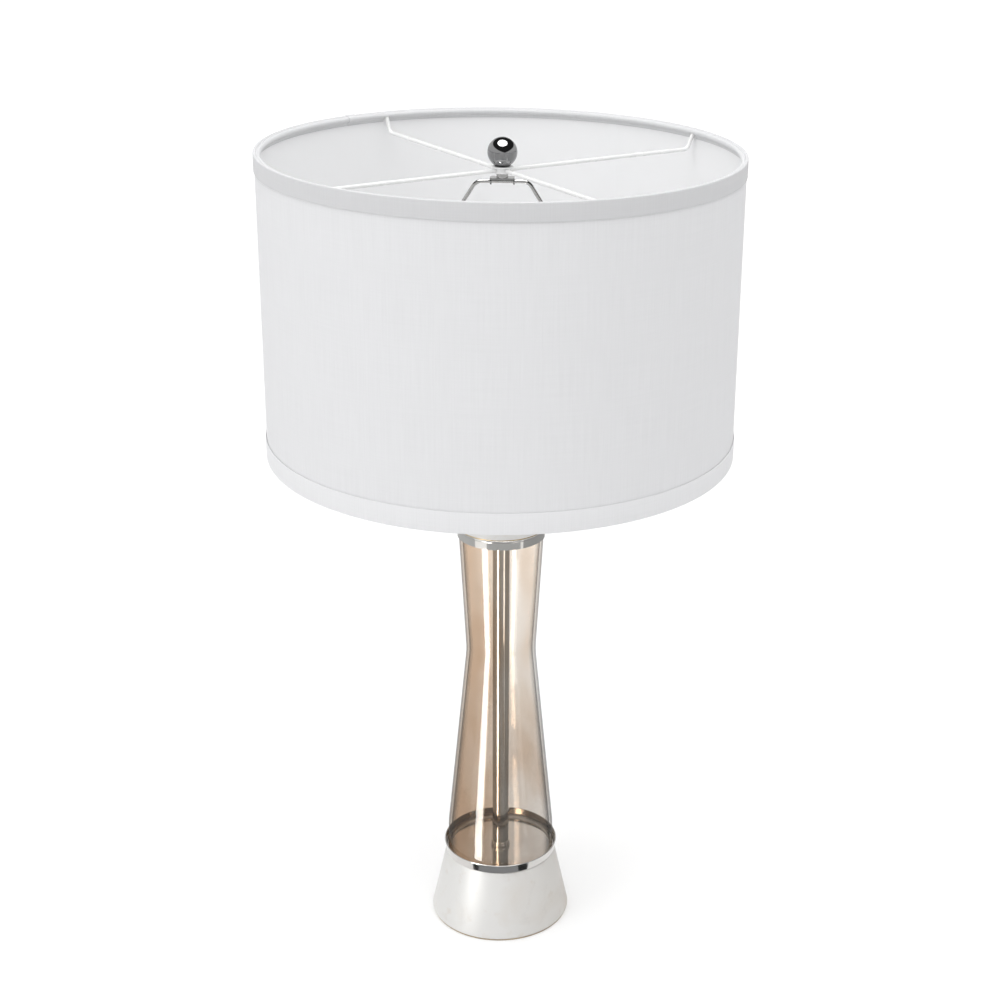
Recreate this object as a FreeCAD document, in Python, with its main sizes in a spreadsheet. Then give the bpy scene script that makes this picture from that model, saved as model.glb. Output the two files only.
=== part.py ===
import FreeCAD, Part

import math
import os

import Sketcher

# Table lamp: a cone of marble carries a polished tray, a waisted glass body round a
# centre tube, a ring and a small marble cap. A neck above the cap holds the saddle of a
# bent wire harp and a screw socket, and the harp carries a drum shade on a four-armed
# spider, held down by a ball finial. All sizes are in millimetres. The origin is the
# centre of the pad's underside, +Z is up, and the harp lies in the plane of X and Z.

SIZES = {
    # how far a cutting shape reaches past what it cuts
    "cut_spare": 2.0,
    # pad and marble foot
    "pad_radius": 56.0,
    "pad_thickness": 1.2,
    "base_radius": 57.2,
    "base_top_radius": 45.0,
    "base_height": 55.8,
    "base_edge": 1.2,
    "base_top_edge": 0.6,
    "recess_radius": 24.0,
    "recess_depth": 16.0,
    # hollow threaded rod that clamps the column together, and what is screwed on it
    "rod_radius": 5.0,
    "rod_bore": 3.3,
    "rod_foot": 3.8,
    "rod_head": 2.4,
    "rod_clearance": 0.3,
    "thread_clearance": 0.04,
    "nut_circumradius": 9.0,
    "nut_height": 6.0,
    "washer_radius": 15.0,
    "washer_thickness": 1.6,
    "lock_washer_radius": 8.6,
    "lock_washer_thickness": 1.0,
    "lock_washer_split": 1.5,
    # cord inlet at the back of the foot
    "inlet_height": 8.8,
    "inlet_bore": 3.2,
    "bushing_radius": 4.1,
    "bushing_length": 26.0,
    "bushing_flange_radius": 6.2,
    "bushing_flange": 1.8,
    "bushing_face": 54.0,
    "bushing_edge": 0.6,
    "bushing_clearance": 0.1,
    # polished tray
    "tray_radius": 45.3,
    "tray_rim_radius": 46.6,
    "tray_height": 8.2,
    "tray_floor": 1.2,
    "tray_wall": 0.9,
    "tray_corner": 1.2,
    "tray_rim_edge": 0.4,
    # glass body and its two gaskets
    "glass_height": 286.4,
    "glass_foot_radius": 43.8,
    "glass_knee_radius": 43.0,
    "glass_knee_height": 22.6,
    "glass_knee_bend": 120.0,
    "waist_radius": 27.6,
    "waist_height": 180.6,
    "waist_bend": 80.0,
    "glass_top_radius": 33.6,
    "glass_wall": 2.5,
    "glass_edge": 0.6,
    "gasket_thickness": 1.2,
    "gasket_width": 3.0,
    # centre tube and its collar
    "tube_radius": 6.75,
    "tube_wall": 1.1,
    "collar_radius": 7.75,
    "collar_height": 4.2,
    "collar_edge": 0.45,
    # top ring, trim washer and marble cap
    "ring_wall": 0.8,
    "ring_gap": 0.3,
    "ring_skirt": 6.6,
    "ring_plate": 1.2,
    "ring_bead": 0.6,
    "ring_bead_drop": 0.3,
    "ring_bead_edge": 0.3,
    "trim_washer_radius": 35.0,
    "trim_washer_thickness": 0.6,
    "cap_radius": 35.3,
    "cap_height": 15.0,
    "cap_edge": 3.0,
    "cap_foot_edge": 0.4,
    # check ring and neck
    "check_ring_radius": 13.0,
    "check_ring_thickness": 2.0,
    "check_ring_edge": 0.6,
    "neck_foot_radius": 9.0,
    "neck_radius": 6.8,
    "neck_head_radius": 8.6,
    "neck_flare": 4.0,
    "neck_bead": 2.0,
    "neck_edge": 0.5,
    "neck_hollow": 1.0,
    "neck_height": 23.6,
    # harp saddle, harp and ferrules
    "saddle_thickness": 1.6,
    "saddle_width": 12.0,
    "saddle_bend": 2.6,
    "saddle_rise": 9.0,
    "post_width": 2.2,
    "post_height": 7.0,
    "harp_height": 228.6,
    "harp_wire": 1.4,
    "leg_reach": 22.0,
    "leg_height": 45.0,
    "leg_bend": 60.0,
    "shoulder_reach": 55.0,
    "shoulder_height": 171.0,
    "shoulder_bend": 70.0,
    "bar_reach": 19.0,
    "bar_bend": 8.0,
    "ferrule_radius": 3.1,
    "ferrule_length": 14.0,
    "ferrule_clearance": 0.08,
    # swivel plate and stud on top of the harp
    "plate_length": 18.0,
    "plate_width": 9.0,
    "plate_thickness": 1.5,
    "plate_corner": 2.2,
    "band_radius": 2.6,
    "band_width": 1.2,
    "band_clearance": 0.02,
    "stud_radius": 3.175,
    "stud_height": 16.0,
    "stud_chamfer": 0.8,
    "stud_shoulder_radius": 4.3,
    "stud_shoulder_height": 3.0,
    "stud_clearance": 0.075,
    # socket
    "socket_cap_radius": 16.8,
    "socket_cap_boss": 7.5,
    "socket_cap_step": 5.0,
    "socket_cap_shoulder": 10.0,
    "socket_cap_height": 22.0,
    "socket_cap_wall": 0.6,
    "socket_cap_root": 1.8,
    "socket_cap_bend": 3.6,
    "socket_cap_floor": 1.2,
    "socket_shell_start": 16.0,
    "socket_shell_height": 48.0,
    "socket_shell_wall": 0.5,
    "socket_shell_gap": 0.1,
    "socket_bead": 0.7,
    "socket_bead_height": 4.0,
    "liner_sleeve_wall": 0.6,
    "liner_sleeve_inset": 2.0,
    "core_start": 12.0,
    "core_height": 26.6,
    "core_radius": 14.7,
    "core_edge": 1.5,
    "core_boss_radius": 6.0,
    "core_boss_height": 1.5,
    "screw_radius": 13.3,
    "screw_throat_radius": 12.0,
    "screw_throat_height": 6.0,
    "screw_height": 22.4,
    "screw_wall": 0.4,
    "screw_edge": 0.8,
    "contact_reach": 5.2,
    "contact_heel": 2.6,
    "contact_width": 5.0,
    "contact_thickness": 0.4,
    "contact_rise": 3.0,
    # rotary switch of the socket
    "switch_height": 28.0,
    "switch_hole": 4.2,
    "switch_stem_radius": 2.0,
    "switch_stem_start": 5.0,
    "switch_stem_end": 30.5,
    "switch_bushing_flange": 5.2,
    "switch_bushing_thickness": 1.2,
    "switch_bushing_edge": 0.4,
    "knob_gap": 0.6,
    "knob_radius": 6.4,
    "knob_nose_radius": 5.2,
    "knob_length": 13.5,
    "knob_edge": 1.0,
    "knob_flute_radius": 0.5,
    # shade, outside in
    "shade_radius": 177.8,
    "shade_height": 228.6,
    "trim_thickness": 0.5,
    "top_trim_height": 13.0,
    "bottom_trim_height": 16.0,
    "trim_flap": 8.0,
    "trim_flap_gap": 0.3,
    "fabric_thickness": 0.6,
    "liner_thickness": 0.5,
    "ring_wire": 1.6,
    "ring_wire_gap": 0.3,
    # spider
    "spider_drop": 15.5,
    "spider_wire": 1.5,
    "spider_bend": 5.0,
    "spider_lean": 5.8,
    "spider_slot_gap": 0.3,
    "spider_azimuth": 32.0,
    "hub_radius": 6.0,
    "hub_flange_radius": 8.0,
    "hub_flange": 1.0,
    "hub_height": 5.0,
    "hub_bore": 3.5,
    "hub_edge": 0.4,
    "hub_clearance": 0.2,
    # finial
    "ball_radius": 10.95,
    "finial_neck_radius": 5.9,
    "finial_neck_height": 0.7,
    "finial_neck_edge": 0.25,
    "finial_spigot": 4.0,
    "finial_spigot_height": 6.0,
    "finial_clearance": 0.2,
}

SPIDER_ARMS = 4
KNOB_FLUTES = 12
NUT_SIDES = 6
# share of a rolled trim's width that each of its two bends takes
ROLL_SHARE = 0.49
# where an arm's end meets the ring's wire, in shares of the wire's radius in and down
WELD_IN = 0.425
WELD_DOWN = 0.9125


class Size:
    """A length: its number, and the formula over the sheet's cells that gives it."""

    def __init__(self, formula, number):
        self.formula = formula
        self.number = number

    def __add__(self, other):
        other = as_size(other)
        return Size(f"({self.formula} + {other.formula})", self.number + other.number)

    def __sub__(self, other):
        other = as_size(other)
        return Size(f"({self.formula} - {other.formula})", self.number - other.number)

    def __mul__(self, factor):
        return Size(f"({self.formula} * {factor})", self.number * factor)

    def __truediv__(self, factor):
        return Size(f"({self.formula} / {factor})", self.number / factor)

    def __neg__(self):
        return Size(f"(0 - {self.formula})", -self.number)

    def leg(self, other):
        """The third side of a right triangle whose hypotenuse is this length."""
        square = self.number**2 - other.number**2
        return Size(f"sqrt({self.formula}^2 - {other.formula}^2)", math.sqrt(square))


def as_size(value):
    return value if isinstance(value, Size) else Size(repr(float(value)), float(value))


class Sheet:
    """The spreadsheet of driving dimensions, read as attributes by name."""

    def __init__(self, document, sizes):
        self.cells = document.addObject("Spreadsheet::Sheet", "Sizes")
        for row, (name, number) in enumerate(sizes.items(), start=1):
            self.cells.set(f"A{row}", name)
            self.cells.set(f"B{row}", str(number))
            self.cells.setAlias(f"B{row}", name)
        document.recompute()

    def __getattr__(self, name):
        return Size(f"Sizes.{name}", float(self.cells.get(name)))


doc = FreeCAD.newDocument("TableLamp")
size = Sheet(doc, SIZES)
ZERO = as_size(0.0)
nodes = []


# ---------------------------------------------------------------- helpers


def bind(item, path, value):
    """Drive a property of an object by a formula over the sheet's cells."""
    item.setExpression(path, as_size(value).formula)


def new_body(label):
    """A body of one sub-part, whose label is the name of its node."""
    body = doc.addObject("PartDesign::Body", label)
    body.Label = label
    nodes.append(body)
    return body


def new_sketch(body, name, role, offset=None):
    """A sketch on one of the body's own origin planes, moved along the plane's normal."""
    sketch = body.newObject("Sketcher::SketchObject", name)
    plane = next(item for item in body.Origin.OriginFeatures if item.Role == role)
    sketch.AttachmentSupport = [(plane, "")]
    sketch.MapMode = "FlatFace"
    if offset is not None:
        bind(sketch, "AttachmentOffset.Base.z", offset)
    return sketch


def hold(sketch, geometry, point, across, up):
    """Hold a sketch point at two distances from the origin, each from its own cells."""
    for kind, axis, value in (("DistanceX", -2, across), ("DistanceY", -1, up)):
        if value.formula == ZERO.formula:
            sketch.addConstraint(Sketcher.Constraint("PointOnObject", geometry, point, axis))
            continue
        ends = (-1, 1, geometry, point) if value.number > 0 else (geometry, point, -1, 1)
        length = value if value.number > 0 else -value
        index = sketch.addConstraint(Sketcher.Constraint(kind, *ends, length.number))
        sketch.setExpression(f"Constraints[{index}]", length.formula)


def outline(sketch, corners, closed=True):
    """Straight sides through the corners (across, up, optional rounding radius)."""
    corners = [(as_size(across), as_size(up), *rest) for across, up, *rest in corners]
    spots = [FreeCAD.Vector(across.number, up.number, 0) for across, up, *_ in corners]
    count = len(spots)
    sides = count if closed else count - 1
    for side in range(sides):
        sketch.addGeometry(Part.LineSegment(spots[side], spots[(side + 1) % count]), False)
    for side in range(sides if closed else sides - 1):
        following = (side + 1) % count
        sketch.addConstraint(Sketcher.Constraint("Coincident", side, 2, following, 1))
    for index, (across, up, *_) in enumerate(corners):
        if index < sides:
            hold(sketch, index, 1, across, up)
        else:
            hold(sketch, index - 1, 2, across, up)
    for index, (_, _, *rounding) in enumerate(corners):
        if rounding:
            radius = as_size(rounding[0])
            arc = sketch.GeometryCount
            sketch.fillet(index, 1, radius.number, True, True)
            held = sketch.addConstraint(Sketcher.Constraint("Radius", arc, radius.number))
            sketch.setExpression(f"Constraints[{held}]", radius.formula)
    return sketch


def circle(sketch, radius, across=ZERO, up=ZERO):
    """A circle whose centre and radius come from the sheet."""
    centre = FreeCAD.Vector(across.number, up.number, 0)
    index = sketch.GeometryCount
    normal = FreeCAD.Vector(0, 0, 1)
    sketch.addGeometry(Part.Circle(centre, normal, radius.number), False)
    hold(sketch, index, 3, across, up)
    held = sketch.addConstraint(Sketcher.Constraint("Radius", index, radius.number))
    sketch.setExpression(f"Constraints[{held}]", radius.formula)
    return sketch


def turned(label, corners):
    """A sub-part turned on a lathe: corners are (radius, height, optional rounding)."""
    body = new_body(label)
    profile = outline(new_sketch(body, f"{label}_profile", "XZ_Plane"), corners)
    turning = body.newObject("PartDesign::Revolution", f"{label}_turning")
    turning.Profile = profile
    turning.ReferenceAxis = (profile, ["V_Axis"])
    turning.Angle = 360
    body.Tip = turning
    return body


def disc(label, bore, radius, bottom, thickness, edge=None):
    """A turned washer, with its outer edges rounded where an edge radius is given."""
    rim = [edge] if edge is not None else []
    top = bottom + thickness
    corners = [(bore, bottom), (radius, bottom, *rim), (radius, top, *rim), (bore, top)]
    return turned(label, corners)


def place(item, height, turn=None):
    """Set a sub-part at a height on the lamp's axis, turned by an axis and an angle."""
    if turn is not None:
        axis, angle = turn
        item.Placement = FreeCAD.Placement(FreeCAD.Vector(), FreeCAD.Rotation(axis, angle))
    bind(item, "Placement.Base.z", height)


def drill(body, name, role, radius, length, offset=None, back=False, up=ZERO):
    """Pocket a round hole, and stop if it takes nothing away."""
    doc.recompute()
    before = body.Shape.Volume
    hole = circle(new_sketch(body, f"{name}_circle", role, offset), radius, ZERO, up)
    pocket = body.newObject("PartDesign::Pocket", name)
    pocket.Profile = hole
    pocket.Type = "Length"
    pocket.Reversed = back
    bind(pocket, "Length", length)
    body.Tip = pocket
    doc.recompute()
    if not body.Shape.Volume < before:
        raise RuntimeError(f"{name} cuts nothing from {body.Label}")
    return pocket


def pad(body, name, profile, width):
    """Pad a profile evenly to both sides of its plane."""
    feature = body.newObject("PartDesign::Pad", name)
    feature.Profile = profile
    feature.SideType = "Symmetric"
    bind(feature, "Length", width)
    body.Tip = feature
    return feature


def cylinder(name, radius, height, bottom=ZERO):
    """A plain cylinder, used to build and to cut."""
    item = doc.addObject("Part::Cylinder", name)
    bind(item, "Radius", radius)
    bind(item, "Height", height)
    bind(item, "Placement.Base.z", bottom)
    return item


def cut(label, base, tool):
    """A sub-part made by cutting one shape out of another."""
    item = doc.addObject("Part::Cut", label)
    item.Base = base
    item.Tool = tool
    item.Label = label
    nodes.append(item)
    return item


X_AXIS = FreeCAD.Vector(1, 0, 0)
Y_AXIS = FreeCAD.Vector(0, 1, 0)
ALONG_X = (Y_AXIS, 90)
TO_FRONT = (X_AXIS, 90)
TO_BACK = (X_AXIS, -90)
# turns an upright sketch about its own upward axis, by an angle that is bound later
ABOUT_UP = FreeCAD.Rotation(Y_AXIS, 1)

# ---------------------------------------------------------------- heights of the stack

rod_hole = size.rod_radius + size.rod_clearance
thread_hole = size.rod_radius + size.thread_clearance

base_bottom = size.pad_thickness
base_top = base_bottom + size.base_height
recess_top = base_bottom + size.recess_depth
tray_floor_top = base_top + size.tray_floor
glass_bottom = tray_floor_top + size.gasket_thickness
glass_top = glass_bottom + size.glass_height
ring_ceiling = glass_top + size.gasket_thickness
ring_top = ring_ceiling + size.ring_plate
cap_bottom = ring_top + size.trim_washer_thickness
cap_top = cap_bottom + size.cap_height
neck_bottom = cap_top + size.check_ring_thickness
saddle_bottom = neck_bottom + size.neck_height
saddle_top = saddle_bottom + size.saddle_thickness
bar_height = saddle_bottom + size.harp_height
plate_bottom = bar_height + size.harp_wire
plate_top = plate_bottom + size.plate_thickness
stud_shoulder_top = plate_top + size.stud_shoulder_height
hub_bottom = stud_shoulder_top + size.hub_clearance
hub_top = hub_bottom + size.hub_height
hub_flange_bottom = hub_top - size.hub_flange
spider_height = hub_bottom + (size.hub_height - size.hub_flange) / 2
finial_bottom = hub_top + size.finial_clearance
finial_neck_top = finial_bottom + size.finial_neck_height
rim_height = spider_height + size.spider_drop
shade_bottom = rim_height - size.shade_height

# ---------------------------------------------------------------- foot


def make_foot():
    """Pad, drilled and recessed marble cone, and the bushing of the cord inlet."""
    disc("base_pad", ZERO, size.pad_radius, ZERO, size.pad_thickness)
    corners = [
        (rod_hole, recess_top),
        (size.recess_radius, recess_top),
        (size.recess_radius, base_bottom),
        (size.base_radius, base_bottom, size.base_edge),
        (size.base_top_radius, base_top, size.base_top_edge),
        (rod_hole, base_top),
    ]
    marble = turned("marble_base", corners)
    inlet = base_bottom + size.inlet_height
    hole = size.bushing_radius + size.bushing_clearance
    drill(marble, "inlet_hole", "XZ_Plane", hole, size.base_radius, None, False, inlet)
    seat = size.bushing_flange_radius + size.bushing_clearance
    seat_depth = size.bushing_face - size.bushing_flange
    drill(marble, "inlet_seat", "XZ_Plane", seat, size.base_radius, -seat_depth, False, inlet)

    bushing = turned(
        "cord_bushing",
        [
            (size.inlet_bore, size.bushing_face - size.bushing_length),
            (size.bushing_radius, size.bushing_face - size.bushing_length),
            (size.bushing_radius, seat_depth),
            (size.bushing_flange_radius, seat_depth),
            (size.bushing_flange_radius, size.bushing_face, size.bushing_edge),
            (size.inlet_bore, size.bushing_face, size.bushing_edge),
        ],
    )
    place(bushing, inlet, TO_BACK)


def make_clamp():
    """The rod through the whole column, and the washers and nut that pull on it."""
    disc("base_washer", rod_hole, size.washer_radius, recess_top - size.washer_thickness,
         size.washer_thickness)
    lock_bottom = recess_top - size.washer_thickness - size.lock_washer_thickness
    ring = cylinder("lock_washer_disc", size.lock_washer_radius, size.lock_washer_thickness,
                    lock_bottom)
    bore = cylinder("lock_washer_bore", rod_hole, size.lock_washer_thickness, lock_bottom)
    split = doc.addObject("Part::Box", "lock_washer_split")
    bind(split, "Length", size.lock_washer_radius)
    bind(split, "Width", size.lock_washer_split)
    bind(split, "Height", size.lock_washer_thickness)
    bind(split, "Placement.Base.y", -size.lock_washer_split / 2)
    bind(split, "Placement.Base.z", lock_bottom)
    opening = doc.addObject("Part::MultiFuse", "lock_washer_opening")
    opening.Shapes = [bore, split]
    cut("base_lock_washer", ring, opening)

    nut_bottom = lock_bottom - size.nut_height
    blank = doc.addObject("Part::Prism", "nut_blank")
    blank.Polygon = NUT_SIDES
    bind(blank, "Circumradius", size.nut_circumradius)
    bind(blank, "Height", size.nut_height)
    bind(blank, "Placement.Base.z", nut_bottom)
    cut("base_nut", blank, cylinder("nut_bore", thread_hole, size.nut_height, nut_bottom))

    rod_top = saddle_top + size.core_start - size.rod_head
    turned(
        "threaded_rod",
        [
            (size.rod_bore, size.rod_foot),
            (size.rod_radius, size.rod_foot),
            (size.rod_radius, rod_top),
            (size.rod_bore, rod_top),
        ],
    )


# ---------------------------------------------------------------- column


def make_tray():
    """The spun tray, with an upright rim that leans out a little."""
    tray_top = base_top + size.tray_height
    turned(
        "base_tray",
        [
            (rod_hole, base_top),
            (size.tray_radius, base_top, size.tray_corner),
            (size.tray_rim_radius, tray_top, size.tray_rim_edge),
            (size.tray_rim_radius - size.tray_wall, tray_top, size.tray_rim_edge),
            (size.tray_radius - size.tray_wall, tray_floor_top, size.tray_corner - size.tray_wall),
            (rod_hole, tray_floor_top),
        ],
    )


def make_glass():
    """The waisted glass: a slim cone up, a soft bend and a slim cone out again."""
    knee = glass_bottom + size.glass_knee_height
    waist = glass_bottom + size.waist_height
    wall = size.glass_wall
    edge = size.glass_edge
    turned(
        "glass_body",
        [
            (size.glass_foot_radius, glass_bottom, edge),
            (size.glass_knee_radius, knee, size.glass_knee_bend),
            (size.waist_radius, waist, size.waist_bend),
            (size.glass_top_radius, glass_top, edge),
            (size.glass_top_radius - wall, glass_top, edge),
            (size.waist_radius - wall, waist, size.waist_bend + wall),
            (size.glass_knee_radius - wall, knee, size.glass_knee_bend - wall),
            (size.glass_foot_radius - wall, glass_bottom, edge),
        ],
    )
    for label, radius, bottom in (
        ("lower_gasket", size.glass_foot_radius, tray_floor_top),
        ("upper_gasket", size.glass_top_radius, glass_top),
    ):
        disc(label, radius - size.gasket_width, radius, bottom, size.gasket_thickness)


def make_tube():
    """The bright tube that hides the rod inside the glass, and the collar at its foot."""
    disc("centre_tube", size.tube_radius - size.tube_wall, size.tube_radius, tray_floor_top,
         ring_ceiling - tray_floor_top)
    disc("tube_collar", size.tube_radius + size.thread_clearance, size.collar_radius,
         tray_floor_top, size.collar_height, size.collar_edge)


def make_column_top():
    """The ring over the glass, the thin trim washer, the marble cap and the neck."""
    skirt_inside = size.glass_top_radius + size.ring_gap
    skirt = skirt_inside + size.ring_wall
    bead = skirt + size.ring_bead
    bead_foot = ring_ceiling - size.ring_bead_drop
    turned(
        "top_ring",
        [
            (rod_hole, ring_ceiling),
            (skirt_inside, ring_ceiling),
            (skirt_inside, ring_ceiling - size.ring_skirt),
            (skirt, ring_ceiling - size.ring_skirt),
            (skirt, bead_foot - size.ring_bead),
            (bead, bead_foot, size.ring_bead_edge),
            (bead, ring_top, size.ring_bead),
            (rod_hole, ring_top),
        ],
    )
    disc("trim_washer", rod_hole, size.trim_washer_radius, ring_top, size.trim_washer_thickness)
    turned(
        "marble_cap",
        [
            (rod_hole, cap_bottom),
            (size.cap_radius, cap_bottom, size.cap_foot_edge),
            (size.cap_radius, cap_top, size.cap_edge),
            (rod_hole, cap_top),
        ],
    )
    disc("check_ring", rod_hole, size.check_ring_radius, cap_top, size.check_ring_thickness,
         size.check_ring_edge)
    turned(
        "neck",
        [
            (rod_hole, neck_bottom),
            (size.neck_foot_radius, neck_bottom, size.neck_edge),
            (size.neck_foot_radius, neck_bottom + size.neck_bead, size.neck_edge),
            (size.neck_radius, neck_bottom + size.neck_flare, size.neck_hollow),
            (size.neck_radius, saddle_bottom - size.neck_flare, size.neck_hollow),
            (size.neck_head_radius, saddle_bottom - size.neck_bead, size.neck_edge),
            (size.neck_head_radius, saddle_bottom),
            (rod_hole, saddle_bottom),
        ],
    )


# ---------------------------------------------------------------- harp


def make_saddle():
    """A stamped strip, bent up at both ends into a shoulder with a narrow post."""
    body = new_body("harp_saddle")
    inside = size.leg_reach - size.saddle_thickness / 2
    outside = size.leg_reach + size.saddle_thickness / 2
    post_top = size.saddle_rise + size.post_height
    outer_bend = size.saddle_bend
    inner_bend = size.saddle_bend - size.saddle_thickness
    corners = [
        (-outside, ZERO, outer_bend),
        (outside, ZERO, outer_bend),
        (outside, post_top),
        (inside, post_top),
        (inside, size.saddle_thickness, inner_bend),
        (-inside, size.saddle_thickness, inner_bend),
        (-inside, post_top),
        (-outside, post_top),
    ]
    profile = outline(new_sketch(body, "saddle_profile", "XZ_Plane"), corners)
    pad(body, "saddle_strip", profile, size.saddle_width)

    for side in (-1, 1):
        doc.recompute()
        before = body.Shape.Volume
        near = size.post_width / 2 * side
        far = (size.saddle_width / 2 + size.cut_spare) * side
        above = post_top + size.cut_spare
        notch = [(near, size.saddle_rise), (far, size.saddle_rise), (far, above), (near, above)]
        name = "front_notch" if side < 0 else "back_notch"
        sketch = outline(new_sketch(body, f"{name}_profile", "YZ_Plane"), notch)
        trim = body.newObject("PartDesign::Pocket", name)
        trim.Profile = sketch
        trim.Type = "Length"
        trim.SideType = "Symmetric"
        bind(trim, "Length", (outside + size.cut_spare) * 2)
        body.Tip = trim
        doc.recompute()
        if not body.Shape.Volume < before:
            raise RuntimeError(f"{name} cuts nothing from the saddle")
    drill(body, "saddle_hole", "XY_Plane", rod_hole, size.saddle_rise, ZERO, True)
    place(body, saddle_bottom)


def make_harp():
    """One bent wire: two upright legs, wide shoulders and a short level bar on top."""
    body = new_body("harp_wire")
    foot = size.saddle_rise + size.post_height
    half = [
        (size.leg_reach, foot),
        (size.leg_reach, size.leg_height, size.leg_bend),
        (size.shoulder_reach, size.shoulder_height, size.shoulder_bend),
        (size.bar_reach, size.harp_height, size.bar_bend),
    ]
    left = [(-across, up, *bend) for across, up, *bend in half]
    path = outline(new_sketch(body, "harp_path", "XZ_Plane"), left + half[::-1], False)
    section = circle(new_sketch(body, "harp_section", "XY_Plane", foot), size.harp_wire,
                     -size.leg_reach)
    wire = body.newObject("PartDesign::AdditivePipe", "harp_bend")
    wire.Profile = section
    wire.Spine = path
    body.Tip = wire
    place(body, saddle_bottom)

    bore = size.harp_wire + size.ferrule_clearance
    rim = (size.ferrule_radius - bore) / 3
    for name, side in (("left", -1), ("right", 1)):
        ferrule = disc(f"ferrule_{name}", bore, size.ferrule_radius, ZERO, size.ferrule_length,
                       rim)
        place(ferrule, saddle_bottom + size.saddle_rise)
        bind(ferrule, "Placement.Base.x", size.leg_reach * side)


def make_swivel():
    """A small plate whose two bands hold the harp's bar, with the stud riveted in it."""
    across = size.plate_length / 2
    deep = size.plate_width / 2
    bend = size.plate_corner
    corners = [(-across, -deep, bend), (across, -deep, bend), (across, deep, bend),
               (-across, deep, bend)]
    top = doc.addObject("PartDesign::Body", "plate_blank")
    middle = plate_bottom + size.plate_thickness / 2
    profile = outline(new_sketch(top, "plate_outline", "XY_Plane", middle), corners)
    pad(top, "plate_sheet", profile, size.plate_thickness)
    parts = [top]
    for name, side in (("left", -1), ("right", 1)):
        band = cylinder(f"{name}_band", size.band_radius, size.band_width)
        place(band, bar_height, ALONG_X)
        centre = (size.plate_length / 2 - size.band_width / 2) * side
        bind(band, "Placement.Base.x", centre - size.band_width / 2)
        parts.append(band)
    blank = doc.addObject("Part::MultiFuse", "plate_and_bands")
    blank.Shapes = parts

    past_end = size.plate_length / 2 + size.cut_spare
    channel = cylinder("bar_channel", size.harp_wire + size.band_clearance, past_end * 2)
    place(channel, bar_height, ALONG_X)
    bind(channel, "Placement.Base.x", -past_end)
    rivet_hole = cylinder("rivet_hole", size.stud_radius + size.band_clearance,
                          size.plate_thickness + size.cut_spare, plate_bottom)
    openings = doc.addObject("Part::MultiFuse", "plate_openings")
    openings.Shapes = [channel, rivet_hole]
    cut("harp_plate", blank, openings)

    stud_top = plate_bottom + size.stud_height
    stud_foot = plate_bottom + size.band_clearance
    turned(
        "harp_stud",
        [
            (ZERO, stud_foot),
            (size.stud_radius, stud_foot),
            (size.stud_radius, plate_top),
            (size.stud_shoulder_radius, plate_top),
            (size.stud_shoulder_radius, stud_shoulder_top),
            (size.stud_radius, stud_shoulder_top),
            (size.stud_radius, stud_top - size.stud_chamfer),
            (size.stud_radius - size.stud_chamfer, stud_top),
            (ZERO, stud_top),
        ],
    )


# ---------------------------------------------------------------- socket


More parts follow.
